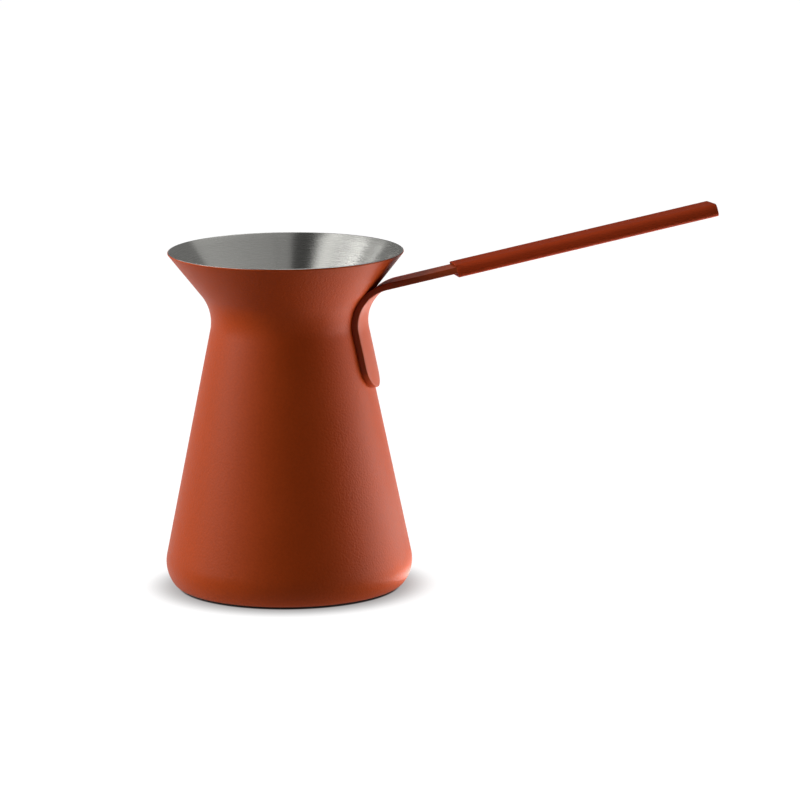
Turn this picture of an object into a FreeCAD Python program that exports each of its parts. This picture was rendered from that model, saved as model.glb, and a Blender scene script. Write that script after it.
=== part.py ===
import FreeCAD, Part
import math
import os

# Long-handled coffee pot: a spun steel flask with a flared mouth, a coloured skin on its outside,
# a flat strap handle welded to the waist and a soft sleeve pushed over the strap's end.
# Lengths are in millimetres and angles in degrees. The pot stands on z = 0, its axis is Z,
# and the handle points along +X.

# Pot body, measured on the outside of its coloured skin
body_height = 124.0
body_radius = 45.0
widest_height = 9.6
corner_arc = 12.4
foot_arc = 3.5
waist_radius = 27.4
mouth_height = 25.8
waist_arc = 16.3
rim_radius = 43.3

# Steel sheet and the skin on it
wall = 0.8
skin = 0.15
bare_lip = 0.05

# Disc under the floor, the only piece that touches the table
plate_inset = 2.7
plate_thickness = 1.5
plate_drop = 0.7
plate_gap = 0.1
plate_edge = 0.3

# Strap handle: a bar that hugs the wall at its lower end and is flat from the bend on
strap_width = 16.5
strap_thickness = 2.3
strap_seat = 0.05
strap_edge = 0.3
lobe_drop = 23.7
flare_run = 0.9
bend_arc = 15.0
tang_angle = 14.7
tang_bare = 28.4

# Welds between strap and wall
weld_radius = 1.9
weld_count = 3
first_weld_share = 0.29
last_weld_share = 0.91
weld_wall_depth = 0.5
weld_strap_depth = 0.8

# Soft sleeve on the strap's end, its mouth and its tip turned the same way across the handle
grip_length = 97.1
grip_slant_angle = 20.0
grip_side = 1.05
grip_cover = 1.25
grip_tip_cover = 1.15
grip_drop = 0.3
grip_edge_share = 0.41
grip_tip_edge = 0.4
grip_end = 5.5
bore_gap = 0.08
bore_end_gap = 0.3
mouth_gap = 0.7
mouth_depth = 7.0

# Past the faces that a cut goes through
overrun = 5.0

origin = FreeCAD.Vector(0, 0, 0)
along_y = FreeCAD.Vector(0, 1, 0)
up = FreeCAD.Vector(0, 0, 1)


def direction(degrees):
    turn = math.radians(degrees)
    return FreeCAD.Vector(math.cos(turn), 0, math.sin(turn))


def angle_of(vector):
    return math.degrees(math.atan2(vector.z, vector.x))


def line(start, end):
    return Part.LineSegment(start, end).toShape()


def arc(centre, radius, first, last):
    # The short arc about a centre, between two unit directions
    middle = (first + last).normalize()
    ends = [centre + way * radius for way in (first, middle, last)]
    return Part.Arc(*ends).toShape()


def chain(points):
    return [line(a, b) for a, b in zip(points, points[1:])]


def face_of(edges):
    return Part.Face(Part.Wire(Part.__sortEdges__(edges)))


def spin(edges):
    return face_of(edges).revolve(origin, up, 360)


# Construction points of the body, in the plane y = 0. The cone is the line that touches the
# corner arc on one side and the waist arc on the other, and the flare runs from the waist arc
# to the rim.
corner = FreeCAD.Vector(body_radius - corner_arc, 0, widest_height)
waist = FreeCAD.Vector(waist_radius + waist_arc, 0, body_height - mouth_height)
rim = FreeCAD.Vector(rim_radius, 0, body_height)

corner_to_waist = waist - corner
cone_lean = math.degrees(math.asin((corner_arc + waist_arc) / corner_to_waist.Length))
cone_up = direction(angle_of(corner_to_waist) + cone_lean)
cone_out = along_y.cross(cone_up)

waist_to_rim = rim - waist
flare_swing = math.degrees(math.acos(waist_arc / waist_to_rim.Length))
flare_in = direction(angle_of(waist_to_rim) + flare_swing)
flare_up = along_y.cross(flare_in)

foot_rise = widest_height - plate_drop - foot_arc
foot_reach = math.sqrt((corner_arc - foot_arc) ** 2 - foot_rise ** 2)
foot = corner + FreeCAD.Vector(foot_reach, 0, -foot_rise)
foot_out = (foot - corner).normalize()
plate_radius = foot.x - plate_inset

# The lip is a full round on the sheet's edge
lip_radius = wall / 2
lip_start = waist + flare_in * (waist_arc + skin + lip_radius)
lip = lip_start + flare_up * ((body_height - lip_radius - lip_start.z) / flare_up.z)
lip_outside = lip - flare_in * lip_radius
lip_inside = lip + flare_in * lip_radius


def body_line(inset, top):
    # The body's outline at a depth below the skin's surface, from under the foot up to a point
    cone_low = corner + cone_out * (corner_arc - inset)
    cone_high = waist - cone_out * (waist_arc + inset)
    flare_low = waist + flare_in * (waist_arc + inset)
    return [
        arc(foot, foot_arc - inset, -up, foot_out),
        arc(corner, corner_arc - inset, foot_out, cone_out),
        line(cone_low, cone_high),
        arc(waist, waist_arc + inset, -cone_out, flare_in),
        line(flare_low, top),
    ]


def foot_end(inset):
    return foot - up * (foot_arc - inset)


def at(radius, height):
    return FreeCAD.Vector(radius, 0, height)


# Where the strap's face against the wall runs, and the frame of its straight end
seat_arc = waist_arc - strap_seat
seat_cone = waist - cone_out * seat_arc
seat_flare = waist + flare_in * seat_arc
lobe_end = seat_cone - cone_up * ((seat_cone.z - waist.z + lobe_drop) / cone_up.z)
tang = direction(tang_angle)
tang_down = along_y.cross(tang)
bend_turn = angle_of(flare_up) - tang_angle
bend_setback = bend_arc * math.tan(math.radians(bend_turn / 2))
bend_start = seat_flare + flare_up * flare_run
bend_corner = bend_start + flare_up * bend_setback
bend_end = bend_corner + tang * bend_setback
bend_centre = bend_end + tang_down * bend_arc
waist_middle = (flare_in - cone_out).normalize()

strap_mouth = bend_corner + tang * tang_bare + tang_down * (strap_thickness / 2)
grip_mouth = strap_mouth + tang_down * grip_drop
grip_width = strap_width + 2 * grip_side
grip_thickness = strap_thickness + 2 * grip_cover
grip_tip_thickness = strap_thickness + 2 * grip_tip_cover
bore_length = grip_length - grip_end
tang_end = bend_corner + tang * (tang_bare + bore_length - bore_end_gap)
grip_across = along_y - tang * math.tan(math.radians(grip_slant_angle))


def bezier(points):
    curve = Part.BezierCurve()
    curve.setPoles(points)
    return curve.toShape()


def sag(half_width, radius):
    # How far an arc across the strap falls below its crown, none where the strap is flat
    return radius - math.sqrt(radius ** 2 - half_width ** 2) if radius else 0


def strap_section(seat, out, hug):
    # The strap's outline across its run: seat is the middle of the face towards the wall, out
    # points away from the wall, and hug is the radius of the wall's curve there
    half = strap_width / 2
    edges = []
    joints = []
    for level, radius, inward in ((0, hug, 1), (strap_thickness, hug and hug + strap_thickness, -1)):
        crown = seat + out * level
        fall = out * sag(half - strap_edge, radius)
        corners = [crown + along_y * (side * half) - out * sag(half, radius) for side in (-1, 1)]
        ends = [crown + along_y * (side * (half - strap_edge)) - fall for side in (-1, 1)]
        starts = [corner_point + out * (strap_edge * inward) for corner_point in corners]
        edges.append(bezier([ends[0], crown + fall, ends[1]]))
        edges += [bezier(list(three)) for three in zip(ends, corners, starts)]
        joints.append(starts)
    edges += [line(low, high) for low, high in zip(*joints)]
    return Part.Wire(Part.__sortEdges__(edges))


def wall_hug(seat, out):
    # Radius of the wall's curve across the strap: the way from the wall to the axis along out
    return abs(seat.x / out.x)


def weld_slugs():
    slugs = []
    depth = weld_wall_depth + skin
    length = depth + strap_seat + weld_strap_depth
    lobe = seat_cone - lobe_end
    spread = last_weld_share - first_weld_share
    for index in range(weld_count):
        share = first_weld_share + spread * index / max(weld_count - 1, 1)
        start = lobe_end + lobe * share - cone_out * (strap_seat + depth)
        slugs.append(Part.makeCylinder(weld_radius, length, start, cone_out))
    return slugs


def pot_shell(slugs):
    under = plate_drop + skin
    recess = plate_radius + plate_gap
    floor = [
        foot_end(skin + wall),
        at(recess + wall, under + wall),
        at(recess + wall, plate_thickness + wall),
        at(0, plate_thickness + wall),
        at(0, plate_thickness),
        at(recess, plate_thickness),
        at(recess, under),
        foot_end(skin),
    ]
    lip_edge = Part.Arc(lip_outside, lip + flare_up * lip_radius, lip_inside).toShape()
    edges = chain(floor) + [lip_edge] + body_line(skin, lip_outside) + body_line(skin + wall, lip_inside)
    return spin(edges).cut(slugs)


def exterior_coating(slugs):
    stop = lip_outside - flare_up * bare_lip
    ends = [line(foot_end(0), foot_end(skin)), line(stop, stop - flare_in * skin)]
    edges = body_line(0, stop - flare_in * skin) + body_line(skin, stop) + ends
    return spin(edges).cut(slugs)


def base_plate():
    disc = Part.makeCylinder(plate_radius, plate_thickness)
    rims = [edge for edge in disc.Edges if edge.Closed and edge.CenterOfMass.z < plate_edge]
    return disc.makeChamfer(plate_edge, rims)


def lobe_offcut():
    # What the round end of the lobe leaves of the bar
    centre = lobe_end + cone_up * (strap_width / 2) - cone_out * overrun
    height = strap_thickness + 2 * overrun
    side = along_y * (strap_width / 2 + overrun)
    below = cone_up * -(strap_width / 2 + overrun)
    corners = [centre - side, centre + side, centre + side + below, centre - side + below]
    block = face_of(chain(corners + corners[:1])).extrude(cone_out * height)
    return block.cut(Part.makeCylinder(strap_width / 2, height, centre, cone_out))


def strap_stretch(run, start_out, end_out):
    # One stretch of the strap along a line or an arc, between the sections at its ends
    sweep = Part.BRepOffsetAPI.MakePipeShell(Part.Wire([run]))
    sweep.setBiNormalMode(along_y)
    for vertex, out in zip(run.Vertexes, (start_out, end_out)):
        hug = 0 if out == tang_down else wall_hug(vertex.Point, out)
        sweep.add(strap_section(vertex.Point, out, hug), vertex, False, False)
    sweep.build()
    sweep.makeSolid()
    return sweep.shape()


def handle_strap(slugs):
    stretches = [
        strap_stretch(line(lobe_end, seat_cone), cone_out, cone_out),
        strap_stretch(arc(waist, seat_arc, -cone_out, waist_middle), cone_out, -waist_middle),
        strap_stretch(arc(waist, seat_arc, waist_middle, flare_in), -waist_middle, -flare_in),
        strap_stretch(line(seat_flare, bend_start), -flare_in, -flare_in),
        strap_stretch(arc(bend_centre, bend_arc, flare_in, -tang_down), -flare_in, tang_down),
    ]
    flat = Part.Face(strap_section(bend_end, tang_down, 0)).extrude(tang_end - bend_end)
    return flat.fuse(stretches).cut([lobe_offcut()] + slugs)


def tang_section(gap, depth, across):
    # The tang's outline grown by a gap, at a depth inside the sleeve's mouth
    centre = strap_mouth + tang * depth
    side = across * (strap_width / 2 + gap)
    half = tang_down * (strap_thickness / 2 + gap)
    corners = [centre + side + half, centre - side + half, centre - side - half, centre + side - half]
    return Part.makePolygon(corners + corners[:1])


def grip_block(tip, past):
    # The sleeve's bar, running past the mouth and the tip at both ends
    mouth_half = tang_down * (grip_thickness / 2)
    tip_half = tang_down * (grip_tip_thickness / 2)
    start = grip_mouth - tang * past
    end = tip + tang * past
    corners = [start - mouth_half, end - tip_half, end + tip_half, start + mouth_half]
    side = face_of(chain(corners + corners[:1]))
    side.translate(along_y * (-grip_width / 2))
    block = side.extrude(along_y * grip_width)
    long_edges = [edge for edge in block.Edges if edge.Length > grip_length / 2]
    return block.makeFillet(grip_tip_thickness * grip_edge_share, long_edges)


def grip_plan(tip, past):
    # What the slanted mouth and tip leave of the bar, seen from above
    above = tang_down * past
    reach = grip_across * past
    corners = [grip_mouth - reach, tip - reach, tip + reach, grip_mouth + reach]
    low = [corner_point - above for corner_point in corners]
    return face_of(chain(low + low[:1])).extrude(above * 2)


def grip_sleeve():
    tip = grip_mouth + tang * grip_length
    past = grip_width / 2 + overrun
    block = grip_block(tip, past).common(grip_plan(tip, past))
    tip_way = tang_down.cross(grip_across).normalize()
    end_edges = [edge for edge in block.Edges if (edge.CenterOfMass - tip).dot(tip_way) > -grip_tip_edge]
    block = block.makeFillet(grip_tip_edge, end_edges)
    bore = Part.Face(tang_section(bore_gap, -past, along_y)).extrude(tang * (past + bore_length))
    bell_ends = [tang_section(mouth_gap, 0, grip_across), tang_section(bore_gap, mouth_depth, grip_across)]
    return block.cut([bore, Part.makeLoft(bell_ends, True, True)])


slugs = weld_slugs()
nodes = {
    "pot_shell": pot_shell(slugs),
    "exterior_coating": exterior_coating(slugs),
    "base_plate": base_plate(),
    "handle_strap": handle_strap(slugs),
    "strap_welds": Part.makeCompound(slugs),
    "grip_sleeve": grip_sleeve(),
}

os.makedirs("parts", exist_ok=True)
for name, shape in nodes.items():
    print(name, "valid", shape.isValid(), "solids", len(shape.Solids), "mm3", round(shape.Volume, 1))
    shape.exportStep("parts/" + name + ".step")
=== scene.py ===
import bpy
import bmesh
import math
from mathutils import Matrix, Vector


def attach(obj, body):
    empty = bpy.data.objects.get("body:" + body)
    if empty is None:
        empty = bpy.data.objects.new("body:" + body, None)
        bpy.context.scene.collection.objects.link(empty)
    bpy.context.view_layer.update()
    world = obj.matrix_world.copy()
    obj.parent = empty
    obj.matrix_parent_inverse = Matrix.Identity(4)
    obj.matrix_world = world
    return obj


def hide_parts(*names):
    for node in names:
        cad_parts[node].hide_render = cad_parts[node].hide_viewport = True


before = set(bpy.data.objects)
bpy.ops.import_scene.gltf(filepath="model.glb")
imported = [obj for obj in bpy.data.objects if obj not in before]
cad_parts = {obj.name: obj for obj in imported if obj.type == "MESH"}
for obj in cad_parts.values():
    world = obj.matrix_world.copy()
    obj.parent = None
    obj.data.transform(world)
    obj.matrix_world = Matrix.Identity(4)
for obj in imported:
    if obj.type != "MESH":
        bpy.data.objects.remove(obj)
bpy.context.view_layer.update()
print("frame loaded:", ", ".join(sorted(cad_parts)))

# The pot stands on z = 0, its axis is Z and its handle points along +X. Metres throughout.
samePoint = 1e-7  # points closer than this are one point


# small helpers for outlines in the plane y = 0, as (x, z) vectors
def aimed(degrees):
    turn = math.radians(degrees)
    return Vector((math.cos(turn), math.sin(turn)))


def angleOf(v):
    return math.degrees(math.atan2(v.y, v.x))


def rightOf(v):
    return Vector((v.y, -v.x))


def arcPoints(centre, radius, first, last, step=3.0):
    # the short way round from one unit direction to another
    a, b = angleOf(first), angleOf(last)
    b = a + (b - a + 180) % 360 - 180
    count = max(2, math.ceil(abs(b - a) / step))
    return [centre + aimed(a + (b - a) * i / count) * radius for i in range(count + 1)]


def linePoints(start, end, step=0.003):
    count = max(1, math.ceil((end - start).length / step))
    return [start.lerp(end, i / count) for i in range(count + 1)]


def joined(*runs):
    points = []
    for run in runs:
        for p in run:
            if not points or (p - points[-1]).length > samePoint:
                points.append(p)
    return points


# pieces
def newPiece(name, mesh):
    piece = bpy.data.objects.new(name, mesh)
    bpy.context.scene.collection.objects.link(piece)
    return piece


def loftedPiece(name, rows, mergeGap, crumbs=0.0):
    # a closed skin through rows of points, with a cap at each end; edges shorter than crumbs go
    work = bmesh.new()
    rings = [[work.verts.new(p) for p in row] for row in rows]
    for a, b in zip(rings, rings[1:]):
        for i in range(len(a)):
            j = (i + 1) % len(a)
            work.faces.new((a[i], a[j], b[j], b[i]))
    work.faces.new(rings[0])
    work.faces.new(rings[-1][::-1])
    bmesh.ops.remove_doubles(work, verts=work.verts, dist=mergeGap)
    if crumbs:
        bmesh.ops.dissolve_degenerate(work, edges=work.edges, dist=crumbs)
    bmesh.ops.recalc_face_normals(work, faces=work.faces)
    mesh = bpy.data.meshes.new(name)
    work.to_mesh(mesh)
    work.free()
    return newPiece(name, mesh)


def finishPiece(piece, material, node, sharpAngle=35):
    # rounds the shading, gives the piece its slot, ties it to its body and hides the CAD node it stands in for
    piece.data.shade_smooth()
    piece.data.set_sharp_from_angle(angle=math.radians(sharpAngle))
    piece.data.materials.clear()
    piece.data.materials.append(material)
    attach(piece, "root")
    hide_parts(node)
    print("made", piece.name, "with", len(piece.data.polygons), "faces")


# nodes
def socketIn(tree, name, kind, value=None):
    socket = tree.interface.new_socket(name=name, in_out="INPUT", socket_type=kind)
    if value is not None:
        socket.default_value = value


def socketOut(tree, name, kind):
    tree.interface.new_socket(name=name, in_out="OUTPUT", socket_type=kind)


def feed(tree, socket, value):
    # a number, colour or vector is set on the socket, and another node's output is linked to it
    if isinstance(value, (int, float, tuple)):
        socket.default_value = value
    else:
        tree.links.new(value, socket)


def mathNode(tree, what, a, b=None, c=None):
    n = tree.nodes.new("ShaderNodeMath")
    n.operation = what
    for i, value in enumerate((a, b, c)):
        if value is not None:
            feed(tree, n.inputs[i], value)
    return n.outputs[0]


def vectorNode(tree, what, a, b=None):
    n = tree.nodes.new("ShaderNodeVectorMath")
    n.operation = what
    feed(tree, n.inputs[0], a)
    if b is not None:
        feed(tree, n.inputs["Scale" if what == "SCALE" else 1], b)
    return n.outputs["Value" if what in ("LENGTH", "DOT_PRODUCT") else "Vector"]


def splitNode(tree, vector):
    n = tree.nodes.new("ShaderNodeSeparateXYZ")
    tree.links.new(vector, n.inputs[0])
    return n.outputs


def combineNode(tree, x=0.0, y=0.0, z=0.0):
    n = tree.nodes.new("ShaderNodeCombineXYZ")
    for i, value in enumerate((x, y, z)):
        feed(tree, n.inputs[i], value)
    return n.outputs[0]


def mixNode(tree, kind, factor, a, b):
    n = tree.nodes.new("ShaderNodeMix")
    n.data_type = kind
    for key, value in (("Factor", factor), ("A", a), ("B", b)):
        feed(tree, n.inputs[key], value)
    return n.outputs["Result"]


def bandNode(tree, value, band, how="SMOOTHSTEP"):
    # band is (start, end, level before, level after)
    n = tree.nodes.new("ShaderNodeMapRange")
    n.interpolation_type = how
    for key, level in zip(("From Min", "From Max", "To Min", "To Max"), band):
        n.inputs[key].default_value = level
    tree.links.new(value, n.inputs["Value"])
    return n.outputs["Result"]


def noiseNode(tree, where, scale, detail):
    n = tree.nodes.new("ShaderNodeTexNoise")
    n.inputs["Detail"].default_value = detail
    tree.links.new(where, n.inputs["Vector"])
    feed(tree, n.inputs["Scale"], scale)
    return n.outputs["Fac"]


def bumpNode(tree, height, look):
    n = tree.nodes.new("ShaderNodeBump")
    n.inputs["Strength"].default_value = look["bumpStrength"]
    n.inputs["Distance"].default_value = look["bumpDepth"]
    tree.links.new(height, n.inputs["Height"])
    return n.outputs["Normal"]


def coordinates(tree, which="Object"):
    return tree.nodes.new("ShaderNodeTexCoord").outputs[which]


# shader groups
noiseMean, fullSwing = 0.5, 2.0  # a noise runs from 0 to 1: less its mean and doubled, it swings by 1


def newGroup(name, takes, gives):
    # a colour input has a tuple as its usual value, the others have a number
    tree = bpy.data.node_groups.new(name, "ShaderNodeTree")
    for key, value in takes.items():
        socketIn(tree, key, "NodeSocketColor" if isinstance(value, tuple) else "NodeSocketFloat", value)
    for key, kind in gives.items():
        socketOut(tree, key, kind)
    given, out = tree.nodes.new("NodeGroupInput"), tree.nodes.new("NodeGroupOutput")
    return tree, given.outputs, out.inputs


def makeMottle(grainShare=1.8):
    # slow and fast colour variation of a coat, with the height of its grain
    tree, given, out = newGroup("mottledFinish", {
        "Colour": (0.5, 0.5, 0.5, 1), "Variation": 0.08, "Patch Scale": 60.0, "Grain Scale": 2600.0,
        "Roughness": 0.5, "Roughness Spread": 0.06,
    }, {"Colour": "NodeSocketColor", "Roughness": "NodeSocketFloat", "Height": "NodeSocketFloat"})
    place = coordinates(tree)
    patches = noiseNode(tree, place, given["Patch Scale"], 3)
    grain = noiseNode(tree, place, given["Grain Scale"], 2)
    slow = mathNode(tree, "SUBTRACT", patches, noiseMean)
    fast = mathNode(tree, "SUBTRACT", grain, noiseMean)
    mixed = mathNode(tree, "MULTIPLY_ADD", fast, grainShare, slow)
    swing = mathNode(tree, "MULTIPLY", mixed, given["Variation"])
    factor = mathNode(tree, "MULTIPLY_ADD", swing, fullSwing, 1.0)
    feed(tree, out["Colour"], vectorNode(tree, "SCALE", given["Colour"], factor))
    spread = mathNode(tree, "MULTIPLY", mixed, given["Roughness Spread"])
    feed(tree, out["Roughness"], mathNode(tree, "MULTIPLY_ADD", spread, fullSwing, given["Roughness"]))
    feed(tree, out["Height"], grain)
    return tree


def makeTurnedGrain(radiusShare=0.8):
    # fine lines round the pot's axis, as spinning and brushing leave them
    tree, given, out = newGroup("turnedGrain", {
        "Line Scale": 3500.0, "Line Length": 6.0, "Roughness": 0.3, "Roughness Spread": 0.1,
    }, {"Lines": "NodeSocketFloat", "Roughness": "NodeSocketFloat"})
    x, y, z = splitNode(tree, coordinates(tree))
    squared = mathNode(tree, "ADD", mathNode(tree, "MULTIPLY", x, x), mathNode(tree, "MULTIPLY", y, y))
    # the lines follow one another up a wall and also outwards on a floor
    along = mathNode(tree, "MULTIPLY_ADD", mathNode(tree, "SQRT", squared), radiusShare, z)
    across = mathNode(tree, "MULTIPLY", along, given["Line Scale"])
    spin = vectorNode(tree, "NORMALIZE", combineNode(tree, x, y))
    ring = vectorNode(tree, "SCALE", spin, given["Line Length"])
    where = vectorNode(tree, "ADD", ring, combineNode(tree, z=across))
    lines = noiseNode(tree, where, 1.0, 3)
    feed(tree, out["Lines"], lines)
    swing = mathNode(tree, "SUBTRACT", lines, noiseMean)
    spread = mathNode(tree, "MULTIPLY", swing, given["Roughness Spread"])
    feed(tree, out["Roughness"], mathNode(tree, "MULTIPLY_ADD", spread, fullSwing, given["Roughness"]))
    return tree


mottledFinish = makeMottle()
turnedGrain = makeTurnedGrain()


# materials
def startMaterial(name):
    m = bpy.data.materials.new(name)
    m.use_nodes = True
    return m, m.node_tree, m.node_tree.nodes["Principled BSDF"].inputs


def placeGroup(tree, group, values):
    g = tree.nodes.new("ShaderNodeGroup")
    g.node_tree = group
    for key, value in values.items():
        g.inputs[key].default_value = value
    return g.outputs


def coatedMaterial(name, look):
    m, tree, shader = startMaterial(name)
    finish = placeGroup(tree, mottledFinish, {
        "Colour": (*look["colour"], 1), "Variation": look["variation"],
        "Patch Scale": look["patchScale"], "Grain Scale": look["grainScale"],
        "Roughness": look["roughness"], "Roughness Spread": look["roughnessSpread"],
    })
    feed(tree, shader["Base Color"], finish["Colour"])
    feed(tree, shader["Roughness"], finish["Roughness"])
    feed(tree, shader["Normal"], bumpNode(tree, finish["Height"], look))
    shader["Specular IOR Level"].default_value = look["specular"]
    return m


def brushedMaterial(name, look):
    m, tree, shader = startMaterial(name)
    grain = placeGroup(tree, turnedGrain, {
        "Line Scale": look["lineScale"], "Line Length": look["lineLength"],
        "Roughness": look["roughness"], "Roughness Spread": look["roughnessSpread"],
    })
    tone = mixNode(tree, "RGBA", grain["Lines"], (*look["dark"], 1), (*look["light"], 1))
    feed(tree, shader["Base Color"], tone)
    feed(tree, shader["Roughness"], grain["Roughness"])
    feed(tree, shader["Normal"], bumpNode(tree, grain["Lines"], look))
    shader["Metallic"].default_value = 1
    shader["Anisotropic"].default_value = look["anisotropy"]
    shader["Anisotropic Rotation"].default_value = look["anisotropyTurn"]
    tangent = tree.nodes.new("ShaderNodeTangent")
    tangent.direction_type = "RADIAL"
    tangent.axis = "Z"
    feed(tree, shader["Tangent"], tangent.outputs[0])
    return m


coatLook = {
    "colour": (0.46, 0.06, 0.0076), "variation": 0.08, "patchScale": 45.0, "grainScale": 1300.0,
    "roughness": 0.45, "roughnessSpread": 0.06, "bumpStrength": 0.5, "bumpDepth": 0.0002, "specular": 0.11,
}
strapLook = {
    "colour": (0.48, 0.065, 0.008), "variation": 0.06, "patchScale": 90.0, "grainScale": 3200.0,
    "roughness": 0.42, "roughnessSpread": 0.06, "bumpStrength": 0.15, "bumpDepth": 0.0001, "specular": 0.17,
    "paintedSideShade": (0.0078, 0.0081, 1.0, 0.68),  # painted shade: a band over the distance from the middle, full colour, then darkened
}
sleeveLook = {
    "colour": (0.415, 0.045, 0.0095), "variation": 0.08, "patchScale": 70.0, "grainScale": 1800.0,
    "roughness": 0.6, "roughnessSpread": 0.05, "bumpStrength": 0.2, "bumpDepth": 0.0002, "specular": 0.04,
}
steelLook = {
    "dark": (0.74, 0.735, 0.695), "light": (0.86, 0.855, 0.81), "lineScale": 9000.0, "lineLength": 0.8,
    "roughness": 0.26, "roughnessSpread": 0.05, "bumpStrength": 0.055, "bumpDepth": 0.00002,
    "anisotropy": 0.8, "anisotropyTurn": 0.25,
}


def paintShadeOnStrapSides(m, look):
    # painted shade: the colour is darkened on the strap's sides
    tree = m.node_tree
    colour = tree.nodes["Principled BSDF"].inputs["Base Color"]
    coat = colour.links[0].from_socket
    aside = mathNode(tree, "ABSOLUTE", splitNode(tree, coordinates(tree))["Y"])
    shade = bandNode(tree, aside, look["paintedSideShade"], "LINEAR")
    feed(tree, colour, vectorNode(tree, "SCALE", coat, shade))


powderCoat = coatedMaterial("terracottaCoat", coatLook)
strapCoat = coatedMaterial("strapCoat", strapLook)
paintShadeOnStrapSides(strapCoat, strapLook)
sleeveRubber = coatedMaterial("siliconeSleeve", sleeveLook)
spunSteel = brushedMaterial("spunSteel", steelLook)
print("materials made")


# the flask: outlines, then a spin in Geometry Nodes
flask = {
    "height": 0.124, "bodyRadius": 0.045, "widestHeight": 0.0096, "cornerArc": 0.0124, "footArc": 0.0035,
    "waistRadius": 0.0274, "mouthHeight": 0.0258, "waistArc": 0.0163, "rimRadius": 0.0433,
    "wall": 0.0008, "skin": 0.00015, "lipSteps": 12,
    "lipLap": 70, "lapSteps": 8, "lapBite": 0.00001,  # the coat's end on the lip: angle, steps, how far it sinks in
    "plateInset": 0.0027, "plateGap": 0.0001, "plateThickness": 0.0015, "plateDrop": 0.0007,
    "footStep": 6, "recessStep": 0.0003, "seatStep": 0.0005, "segments": 288, "mergeGap": 1e-6,
}

corner = Vector((flask["bodyRadius"] - flask["cornerArc"], flask["widestHeight"]))
waist = Vector((flask["waistRadius"] + flask["waistArc"], flask["height"] - flask["mouthHeight"]))
rim = Vector((flask["rimRadius"], flask["height"]))
coneLean = math.degrees(math.asin((flask["cornerArc"] + flask["waistArc"]) / (waist - corner).length))
coneUp = aimed(angleOf(waist - corner) + coneLean)
coneOut = rightOf(coneUp)
flareSwing = math.degrees(math.acos(flask["waistArc"] / (rim - waist).length))
flareIn = aimed(angleOf(rim - waist) + flareSwing)
flareUp = rightOf(flareIn)
footRise = flask["widestHeight"] - flask["plateDrop"] - flask["footArc"]
footReach = math.sqrt((flask["cornerArc"] - flask["footArc"]) ** 2 - footRise ** 2)
foot = corner + Vector((footReach, -footRise))
footOut = (foot - corner).normalized()
lipRadius = flask["wall"] / 2
lipStart = waist + flareIn * (flask["waistArc"] + flask["skin"] + lipRadius)
lip = lipStart + flareUp * ((flask["height"] - lipRadius - lipStart.y) / flareUp.y)


def flaskLine(inset, top):
    # from the foot to the top, so far inside the coat's face
    coneEnds = corner + coneOut * (flask["cornerArc"] - inset), waist - coneOut * (flask["waistArc"] + inset)
    return joined(
        arcPoints(foot, flask["footArc"] - inset, Vector((0, -1)), footOut, flask["footStep"]),
        arcPoints(corner, flask["cornerArc"] - inset, footOut, coneOut),
        linePoints(*coneEnds),
        arcPoints(waist, flask["waistArc"] + inset, -coneOut, flareIn),
        linePoints(waist + flareIn * (flask["waistArc"] + inset), top),
    )


def shellOutline():
    under = flask["plateDrop"] + flask["skin"]
    wall, deep, steps = flask["wall"], flask["plateThickness"], flask["lipSteps"]
    recess = foot.x - flask["plateInset"] + flask["plateGap"]

    def floorLine(edge, low, high):
        # from the axis out to the foot, over the step round the plate's recess
        return joined(
            linePoints(Vector((0, high)), Vector((edge, high))),
            linePoints(Vector((edge, high)), Vector((edge, low)), flask["recessStep"]),
            linePoints(Vector((edge, low)), Vector((foot.x, low)), flask["seatStep"]),
        )

    inside = flaskLine(flask["skin"] + wall, lip + flareIn * lipRadius)
    outside = flaskLine(flask["skin"], lip - flareIn * lipRadius)
    rounded = [lip + (flareUp * math.sin(a) + flareIn * math.cos(a)) * lipRadius
               for a in (math.pi * i / steps for i in range(steps + 1))]
    floorTop = floorLine(recess + wall, under + wall, deep + wall)
    underside = floorLine(recess, under, deep)[::-1]
    return joined(floorTop, inside, rounded, outside[::-1], underside)


def coatOutline():
    # the coat laps a little way over the lip and thins out there
    side = lip - flareIn * lipRadius
    outer = flaskLine(0, side - flareIn * flask["skin"])
    inner = flaskLine(flask["skin"], side)
    lap, steps = math.radians(flask["lipLap"]), flask["lapSteps"]
    for i in range(1, steps + 1):
        share = i / steps
        away = flareUp * math.sin(lap * share) - flareIn * math.cos(lap * share)
        outer.append(lip + away * (lipRadius + flask["skin"] * math.sqrt(1 - share ** 2)))
        inner.append(lip + away * (lipRadius - flask["lapBite"]))
    return joined(outer, inner[::-1])


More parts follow.
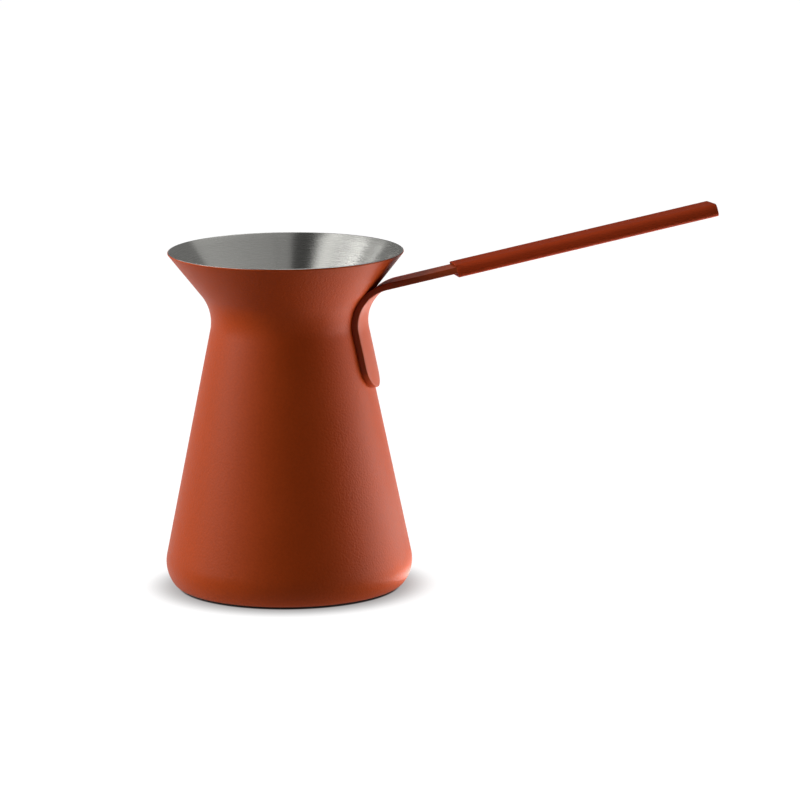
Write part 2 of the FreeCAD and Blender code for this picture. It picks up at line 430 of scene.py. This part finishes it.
def makeSpinTree():
    # turns an outline in the plane y = 0 into a body of revolution round Z
    tree = bpy.data.node_groups.new("spunSheet", "GeometryNodeTree")
    tree.is_modifier = True
    socketIn(tree, "Outline", "NodeSocketGeometry")
    socketIn(tree, "Segments", "NodeSocketInt", 256)
    socketIn(tree, "Turning Radius", "NodeSocketFloat", 0.03)
    socketIn(tree, "Merge Gap", "NodeSocketFloat", 1e-6)
    socketIn(tree, "Finish", "NodeSocketMaterial")
    socketOut(tree, "Sheet", "NodeSocketGeometry")
    nodes, links = tree.nodes, tree.links
    given, out = nodes.new("NodeGroupInput").outputs, nodes.new("NodeGroupOutput").inputs
    outline = nodes.new("GeometryNodeMeshToCurve")
    links.new(given["Outline"], outline.inputs["Mesh"])
    ring = nodes.new("GeometryNodeCurvePrimitiveCircle")
    ring.mode = "RADIUS"
    links.new(given["Segments"], ring.inputs["Resolution"])
    links.new(given["Turning Radius"], ring.inputs["Radius"])
    # the outline's x, less the turning radius, and its z become the profile's own x and y
    x, _, z = splitNode(tree, nodes.new("GeometryNodeInputPosition").outputs[0])
    laid = nodes.new("GeometryNodeSetPosition")
    links.new(outline.outputs["Curve"], laid.inputs["Geometry"])
    shifted = mathNode(tree, "SUBTRACT", x, given["Turning Radius"])
    links.new(combineNode(tree, shifted, mathNode(tree, "MULTIPLY", z, -1.0)), laid.inputs["Position"])
    sweep = nodes.new("GeometryNodeCurveToMesh")
    links.new(ring.outputs["Curve"], sweep.inputs["Curve"])
    links.new(laid.outputs["Geometry"], sweep.inputs["Profile Curve"])
    merge = nodes.new("GeometryNodeMergeByDistance")
    links.new(given["Merge Gap"], merge.inputs["Distance"])
    links.new(sweep.outputs["Mesh"], merge.inputs["Geometry"])
    whole = nodes.new("GeometryNodeRealizeInstances")
    links.new(merge.outputs["Geometry"], whole.inputs["Geometry"])
    finish = nodes.new("GeometryNodeSetMaterial")
    links.new(whole.outputs["Geometry"], finish.inputs["Geometry"])
    links.new(given["Finish"], finish.inputs["Material"])
    links.new(finish.outputs["Geometry"], out["Sheet"])
    return tree


spinTree = makeSpinTree()


def spunPiece(name, outline, closed, material):
    mesh = bpy.data.meshes.new(name + "Outline")
    count = len(outline)
    edges = [(i, (i + 1) % count) for i in range(count if closed else count - 1)]
    mesh.from_pydata([(p.x, 0, p.y) for p in outline], edges, [])
    piece = newPiece(name, mesh)
    modifier = piece.modifiers.new("spin", "NODES")
    modifier.node_group = spinTree
    keys = {s.name: s.identifier for s in spinTree.interface.items_tree if s.in_out == "INPUT"}
    modifier[keys["Segments"]] = flask["segments"]
    modifier[keys["Turning Radius"]] = flask["waistRadius"]
    modifier[keys["Merge Gap"]] = flask["mergeGap"]
    modifier[keys["Finish"]] = material
    ready = piece.evaluated_get(bpy.context.evaluated_depsgraph_get())
    spun = bpy.data.meshes.new_from_object(ready)
    piece.modifiers.clear()
    piece.data = spun
    bpy.data.meshes.remove(mesh)
    work = bmesh.new()
    work.from_mesh(spun)
    bmesh.ops.remove_doubles(work, verts=work.verts, dist=flask["mergeGap"])
    bmesh.ops.recalc_face_normals(work, faces=work.faces)
    if work.calc_volume(signed=True) < 0:
        bmesh.ops.reverse_faces(work, faces=work.faces)
    work.to_mesh(spun)
    work.free()
    return piece


finishPiece(spunPiece("potFlask", shellOutline(), False, spunSteel), spunSteel, "pot_shell")
finishPiece(spunPiece("potCoat", coatOutline(), True, powderCoat), powderCoat, "exterior_coating")
for node in ("base_plate", "strap_welds"):
    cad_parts[node].data.materials[0] = spunSteel


# the strap: a flat bar's rows, laid along the wall and out into the tang
strap = {
    "width": 0.0165, "thickness": 0.0023, "seat": 0.00005, "edge": 0.0003, "edgeSteps": 4,
    "lobeDrop": 0.0237, "flareRun": 0.0009, "bendArc": 0.015, "tangAngle": 14.7, "tangBare": 0.0284,
    "lobeAngles": range(26, 91, 8), "wallStep": 0.002, "waistStep": 3, "bendStep": 2, "tangStep": 0.006,
    "acrossSteps": 14, "mergeGap": 2e-6, "crumbs": 1e-6,
}
grip = {
    "length": 0.0971, "side": 0.00105, "cover": 0.00125, "tipCover": 0.00115, "drop": 0.0003,
    "edgeShare": 0.41, "slantAngle": 20.0, "tipEdge": 0.0004, "end": 0.0055, "mergeGap": 1e-7,
    "boreGap": 0.00008, "boreEndGap": 0.0003, "boreEdgeShare": 0.9,
    "mouthGap": 0.0007, "mouthDepth": 0.007, "mouthStart": 0.0105, "mouthSteps": 8,
    "rimEdge": 0.0002, "rimSteps": 3, "rimRun": 0.006, "runSteps": 6, "bodySteps": 23, "tipSteps": 6,
    "tipRows": ((0.76, 0.6), (0.55, 0.25)),  # the tip's inner rows, as shares of its width and height
}

seatArc = flask["waistArc"] - strap["seat"]
seatCone = waist - coneOut * seatArc
seatFlare = waist + flareIn * seatArc
lobeEnd = seatCone - coneUp * ((seatCone.y - waist.y + strap["lobeDrop"]) / coneUp.y)
tang = aimed(strap["tangAngle"])
tangDown = rightOf(tang)
bendTurn = angleOf(flareUp) - strap["tangAngle"]
setback = strap["bendArc"] * math.tan(math.radians(bendTurn / 2))
bendStart = seatFlare + flareUp * strap["flareRun"]
bendCorner = bendStart + flareUp * setback
bendEnd = bendCorner + tang * setback
bendCentre = bendEnd + tangDown * strap["bendArc"]
strapMouth = bendCorner + tang * strap["tangBare"] + tangDown * (strap["thickness"] / 2)
boreLength = grip["length"] - grip["end"]
tangEnd = bendCorner + tang * (strap["tangBare"] + boreLength - grip["boreEndGap"])


def edgeInsets(edge, steps):
    # how far in from the rim each row of a rounded edge lies
    return [edge * (1 - math.cos(math.pi / 2 * i / steps)) for i in range(steps + 1)]


def strapStations():
    # (place of the seat face, way out from the wall, hug radius, share of the hug left)
    stations = []
    half = strap["width"] / 2

    def add(place, out, share=1):
        if not stations or (place - stations[-1][0]).length > samePoint:
            stations.append((place, out, abs(place.x / out.x) if share else 1.0, share))

    starts = edgeInsets(strap["edge"], strap["edgeSteps"])
    starts += [half * (1 - math.cos(math.radians(a))) for a in strap["lobeAngles"]]
    for s in starts:
        add(lobeEnd + coneUp * s, coneOut)
    for p in linePoints(lobeEnd + coneUp * half, seatCone, strap["wallStep"]):
        add(p, coneOut)
    for p in arcPoints(waist, seatArc, -coneOut, flareIn, strap["waistStep"]):
        add(p, (waist - p).normalized())
    for p in linePoints(seatFlare, bendStart, strap["wallStep"]):
        add(p, -flareIn)
    bend = arcPoints(bendCentre, strap["bendArc"], flareIn, -tangDown, strap["bendStep"])
    for i, p in enumerate(bend):
        add(p, (bendCentre - p).normalized(), 1 - i / (len(bend) - 1))
    for p in linePoints(bendEnd, tangEnd, strap["tangStep"]):
        add(p, tangDown, 0)
    return stations


def strapRow(station, run):
    # one closed section, as far from the strap's round end as run
    place, out, hug, share = station
    half, edge, thick = strap["width"] / 2, strap["edge"], strap["thickness"]
    back = max(half - run, 0.0)

    def reach(inset):
        left = (half - inset) ** 2 - back ** 2
        return math.sqrt(left) if left > 0 else 0.0

    def rounding(y):
        depth = half - math.hypot(back, y)
        depth = min(max(depth, 0.0), edge)
        return edge - math.sqrt(max(edge ** 2 - (edge - depth) ** 2, 0.0))

    def laid(y, h):
        fall = (hug + h) - math.sqrt((hug + h) ** 2 - y ** 2) if share else 0.0
        p = place + out * (h - fall * share)
        return Vector((p.x, y, p.y))

    rims = [reach(d) for d in edgeInsets(edge, strap["edgeSteps"])]
    flat, count = reach(edge), strap["acrossSteps"]
    ys = [-y for y in rims] + [flat * (2 * i / count - 1) for i in range(1, count)] + rims[::-1]
    lower = [laid(y, rounding(y)) for y in ys]
    upper = [laid(y, thick - rounding(y)) for y in ys[::-1]]
    return lower + upper


def makeStrap():
    stations = strapStations()
    run, rows, last = 0.0, [], stations[0][0]
    for station in stations:
        run += (station[0] - last).length
        last = station[0]
        rows.append(strapRow(station, run))
    return loftedPiece("handleStrap", rows, strap["mergeGap"], strap["crumbs"])


finishPiece(makeStrap(), strapCoat, "handle_strap")


# the sleeve: rounded sections along the tang, slanted alike at the mouth and at the tip
def roundedLoop(halfWidth, halfHeight, radius, steps=8, straight=10):
    # (across, up) points of a rounded rectangle, anticlockwise
    loop = []
    for sx, sy, first in ((1, 1, 0), (-1, 1, 90), (-1, -1, 180), (1, -1, 270)):
        cx, cy = sx * (halfWidth - radius), sy * (halfHeight - radius)
        for i in range(steps + 1):
            a = math.radians(first + 90 * i / steps)
            loop.append(Vector((cx + radius * math.cos(a), cy + radius * math.sin(a))))
        if first in (0, 180):
            for i in range(1, straight):
                loop.append(Vector((cx + (-2 * cx) * i / straight, sy * halfHeight)))
    return loop


def makeSleeve():
    halfWidth = strap["width"] / 2 + grip["side"]
    halfHigh = strap["thickness"] / 2 + grip["cover"]
    tipHigh = strap["thickness"] / 2 + grip["tipCover"]
    radius = 2 * tipHigh * grip["edgeShare"]
    middle = strapMouth + tangDown * grip["drop"]
    slant = math.tan(math.radians(grip["slantAngle"]))
    length, edge, rimEdge, rimRun = grip["length"], grip["tipEdge"], grip["rimEdge"], grip["rimRun"]
    rows = []

    def addRow(along, loop, lift=0.0, slant=slant):
        row = []
        for p in loop:
            place = middle + tang * (along - p.x * slant) - tangDown * (p.y + lift)
            row.append((place.x, p.x, place.y))
        rows.append(row)

    def boreLoop(gap):
        corners = strap["edge"] * grip["boreEdgeShare"]
        return roundedLoop(strap["width"] / 2 + gap, strap["thickness"] / 2 + gap, corners)

    def outerLoop(inset=0.0, high=halfHigh):
        return roundedLoop(halfWidth - inset, high - inset, radius - inset)

    # the bore, from its blind end, which is cut square, out to the mouth
    addRow(boreLength, boreLoop(grip["boreGap"]), grip["drop"], 0.0)
    addRow(grip["mouthStart"], boreLoop(grip["boreGap"]), grip["drop"])
    for i in range(1, grip["mouthSteps"] + 1):
        share = i / grip["mouthSteps"]
        gap = grip["boreGap"] + (grip["mouthGap"] - grip["boreGap"]) * share
        addRow(grip["mouthDepth"] * (1 - share), boreLoop(gap), grip["drop"])
    # over the rim and along the outside to the tip
    for i in range(grip["rimSteps"] + 1):
        a = math.pi / 2 * i / grip["rimSteps"]
        addRow(rimEdge * (1 - math.cos(a)), outerLoop(rimEdge * (1 - math.sin(a))))
    for i in range(1, grip["runSteps"] + 1):
        addRow(rimRun * i / grip["runSteps"] + rimEdge, outerLoop())
    for i in range(1, grip["bodySteps"] + 1):
        along = rimRun + (length - edge - rimRun) * i / grip["bodySteps"]
        addRow(along, outerLoop(0.0, halfHigh + (tipHigh - halfHigh) * along / length))
    for i in range(1, grip["tipSteps"] + 1):
        a = math.pi / 2 * i / grip["tipSteps"]
        addRow(length - edge + edge * math.sin(a), outerLoop(edge * (1 - math.cos(a)), tipHigh))
    for wide, high in grip["tipRows"]:
        addRow(length, [Vector((p.x * wide, p.y * high)) for p in outerLoop(edge, tipHigh)])
    return loftedPiece("gripSleeve", rows, grip["mergeGap"])


finishPiece(makeSleeve(), sleeveRubber, "grip_sleeve", 40)


# floor, light and camera
cameraView = {
    "place": (0.42248, -1.67446, 0.40015), "turn": (79.124, 0.447, 12.714), "lens": 217.2, "clip": (0.1, 50),
}
# bands are (start, end, level before, level after), and those of the floor run out from the pot's axis
floorLook = {
    "side": 6.0, "tone": 0.12, "roughness": 0.9, "specular": 0.1,
    # near the foot the first floor band dips as a painted shadow, the second puts a painted dark line under the
    # foot, and the third is a painted glow that lights the foot
    "glowAndPaintedShadow": (0.039, 0.056, 0.36, 1.0), "paintedFootShadow": (0.0398, 0.041, 0.0, 1.0), "ring": (0.046, 0.054, 0.35, 0.0),
}
worldLook = {"ambient": 0.01, "reflection": (-0.2, 0.5, 0.035, 0.2)}
# lamps are placed (across, away, up) in the camera's view, which is turned viewTurn degrees round the pot
viewTurn = 12.8
potMiddle = (0, 0, 0.06)  # where a lamp points that has no way of its own
lamps = {
    "leftCore": {"place": (-0.838, -0.118, 0.368), "size": (0.6, 0.56), "power": 6.65},
    "leftFront": {"place": (-0.657, -0.532, 0.368), "size": (0.28, 0.56), "power": 0.9},
    "leftWing": {"place": (-0.768, 0.408, 0.293), "size": (0.4, 0.5), "power": 0.7},
    "rightStrip": {"place": (0.497, 0.044, 0.034), "size": (0.48, 0.06), "power": 1.49},
    "rightWing": {"place": (0.491, 0.344, 0.091), "size": (0.3, 0.16), "power": 0.15},
    "lowStrip": {"place": (0.21, 0.06, 0.004), "size": (0.2, 0.2), "power": 0.55, "way": (0, 0, 1)},
    "footStrip": {"place": (0.085, -0.02, 0.001), "size": (0.07, 0.14), "power": 0.03, "way": (0, 0, 1)},
    "cornerStrip": {"place": (0.051, -0.012, 0.001), "size": (0.01, 0.05), "power": 0.006, "way": (0, 0, 1)},
    "leftHigh": {"place": (-0.8, 0.46, 0.66), "size": (0.45, 0.35), "power": 0.05, "way": (0.8, -0.46, -0.54)},
    "ceilingEdge": {"place": (-0.485, -0.15, 1.0), "size": (0.16, 0.7), "power": 0.42, "way": (0, 0, -1)},
    "ceilingMiddle": {"place": (0.02, 0.1, 1.0), "size": (0.18, 1.6), "power": 0.21, "way": (0, 0, -1)},
    "ceilingLeft": {"place": (-0.7, 0.0, 1.0), "size": (0.56, 0.9), "power": 0.5, "way": (0, 0, -1)},
    "ceilingRight": {"place": (0.7, 0.1, 1.0), "size": (1.16, 1.6), "power": 1.45, "way": (0, 0, -1)},
    "backTop": {"place": (0.1, 0.5, 0.9), "size": (0.5, 0.3), "power": 0.6, "way": (0, -0.5, -0.8)},
}


def makeFloor(look):
    mesh = bpy.data.meshes.new("floor")
    side = look["side"]
    corners = [(-side, -side, 0), (side, -side, 0), (side, side, 0), (-side, side, 0)]
    mesh.from_pydata(corners, [], [(0, 1, 2, 3)])
    m, tree, shader = startMaterial("paleFloor")
    shader["Base Color"].default_value = (look["tone"], look["tone"], look["tone"], 1)
    shader["Roughness"].default_value = look["roughness"]
    shader["Specular IOR Level"].default_value = look["specular"]
    shader["Emission Color"].default_value = (1, 1, 1, 1)
    # 1 for what the camera sees directly, in a mirror or through glass
    rays = tree.nodes.new("ShaderNodeLightPath").outputs
    direct = mathNode(tree, "MAXIMUM", rays["Is Camera Ray"], rays["Is Glossy Ray"])
    mask = mathNode(tree, "MAXIMUM", direct, rays["Is Transmission Ray"])
    # the lamps light the floor only near the pot, so it glows white further out; nearer the pot the glow falls off
    # as a painted shadow, and under the foot it goes out as a painted dark line
    away = vectorNode(tree, "LENGTH", coordinates(tree))
    glowAndPaintedShadow = mathNode(tree, "MULTIPLY", bandNode(tree, away, look["glowAndPaintedShadow"]), bandNode(tree, away, look["paintedFootShadow"]))
    # a painted glow: round the foot the floor glows, unseen by the camera, for the light that the pale floor throws
    # up on the foot
    unseen = mathNode(tree, "SUBTRACT", 1.0, mask)
    paintedBounceGlow = mathNode(tree, "MULTIPLY", unseen, bandNode(tree, away, look["ring"]))
    feed(tree, shader["Emission Strength"], mathNode(tree, "MULTIPLY_ADD", mask, glowAndPaintedShadow, paintedBounceGlow))
    mesh.materials.append(m)
    newPiece("floor", mesh)


def makeWorld(look):
    world = bpy.data.worlds.new("studio")
    bpy.context.scene.world = world
    world.use_nodes = True
    tree = world.node_tree
    tree.nodes.clear()
    # white for the camera, dim for the surfaces, and lighter behind the pot in what metal mirrors
    rays = tree.nodes.new("ShaderNodeLightPath").outputs
    turn = math.radians(viewTurn)
    behind = (-math.sin(turn), math.cos(turn), 0)
    facing = vectorNode(tree, "DOT_PRODUCT", coordinates(tree, "Generated"), behind)
    glossy = mathNode(tree, "MAXIMUM", rays["Is Glossy Ray"], rays["Is Transmission Ray"])
    level = mixNode(tree, "FLOAT", glossy, look["ambient"], bandNode(tree, facing, look["reflection"]))
    light = tree.nodes.new("ShaderNodeBackground")
    feed(tree, light.inputs["Strength"], mixNode(tree, "FLOAT", rays["Is Camera Ray"], level, 1.0))
    feed(tree, tree.nodes.new("ShaderNodeOutputWorld").inputs["Surface"], light.outputs[0])


def makeLamp(name, look):
    data = bpy.data.lights.new(name, "AREA")
    data.shape = "RECTANGLE"
    data.size, data.size_y = look["size"]
    data.energy = look["power"]
    lamp = bpy.data.objects.new(name, data)
    bpy.context.scene.collection.objects.link(lamp)
    place = Vector(look["place"])
    way = Vector(look["way"]) if "way" in look else Vector(potMiddle) - place
    aim = way.to_track_quat("-Z", "Y").to_matrix().to_4x4()
    lamp.matrix_world = Matrix.Rotation(math.radians(viewTurn), 4, "Z") @ Matrix.Translation(place) @ aim
    lamp.visible_camera = False


def makeCamera(look):
    data = bpy.data.cameras.new("photoCamera")
    data.lens = look["lens"]
    data.clip_start, data.clip_end = look["clip"]
    camera = bpy.data.objects.new("photoCamera", data)
    bpy.context.scene.collection.objects.link(camera)
    camera.location = look["place"]
    camera.rotation_euler = [math.radians(a) for a in look["turn"]]
    bpy.context.scene.camera = camera


makeFloor(floorLook)
makeWorld(worldLook)
for name, look in lamps.items():
    makeLamp(name, look)
makeCamera(cameraView)
bpy.context.scene.view_settings.view_transform = "Standard"
print("stage, lamps and camera set")
